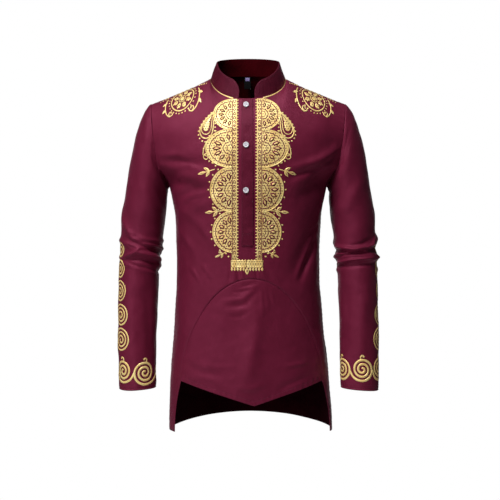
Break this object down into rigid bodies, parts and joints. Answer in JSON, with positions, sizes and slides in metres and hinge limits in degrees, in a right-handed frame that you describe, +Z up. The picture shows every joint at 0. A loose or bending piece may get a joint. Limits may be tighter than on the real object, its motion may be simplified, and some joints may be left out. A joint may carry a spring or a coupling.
{
  "type": "long-sleeved stand-collar popover shirt, filled out with no wearer",
  "caption": "Slim long-sleeved popover shirt with an open stand collar, buttoned half placket, arched lower front with a pointed hem and a longer back, in its worn form.",
  "frame": {"origin": "midway between the two points where the collar seam meets the shoulder seams, at the height of those points", "axes": "+Z up, +X towards the wearer's left sleeve, the front faces -Y"},
  "size_m": [0.5699, 0.2475, 0.8209],
  "materials": {
    "shirt_cloth": "burgundy satin-faced cotton blend",
    "band_cloth": "burgundy satin-faced cotton blend, interlined",
    "button_white": "polished white resin",
    "label_weave": "bare black woven tape",
    "gold_print": "gold foil film printed on the cloth",
    "sewing_thread": "spun polyester thread"
  },
  "bodies": {
    "root": {"front_body": "shirt_cloth", "lower_front": "shirt_cloth", "back_body": "shirt_cloth", "sleeve_left": "shirt_cloth", "sleeve_right": "shirt_cloth", "collar_stand": "band_cloth", "placket": "band_cloth", "button_1": "button_white", "button_2": "button_white", "button_3": "button_white", "neck_label": "label_weave"}
  },
  "joints": []
}
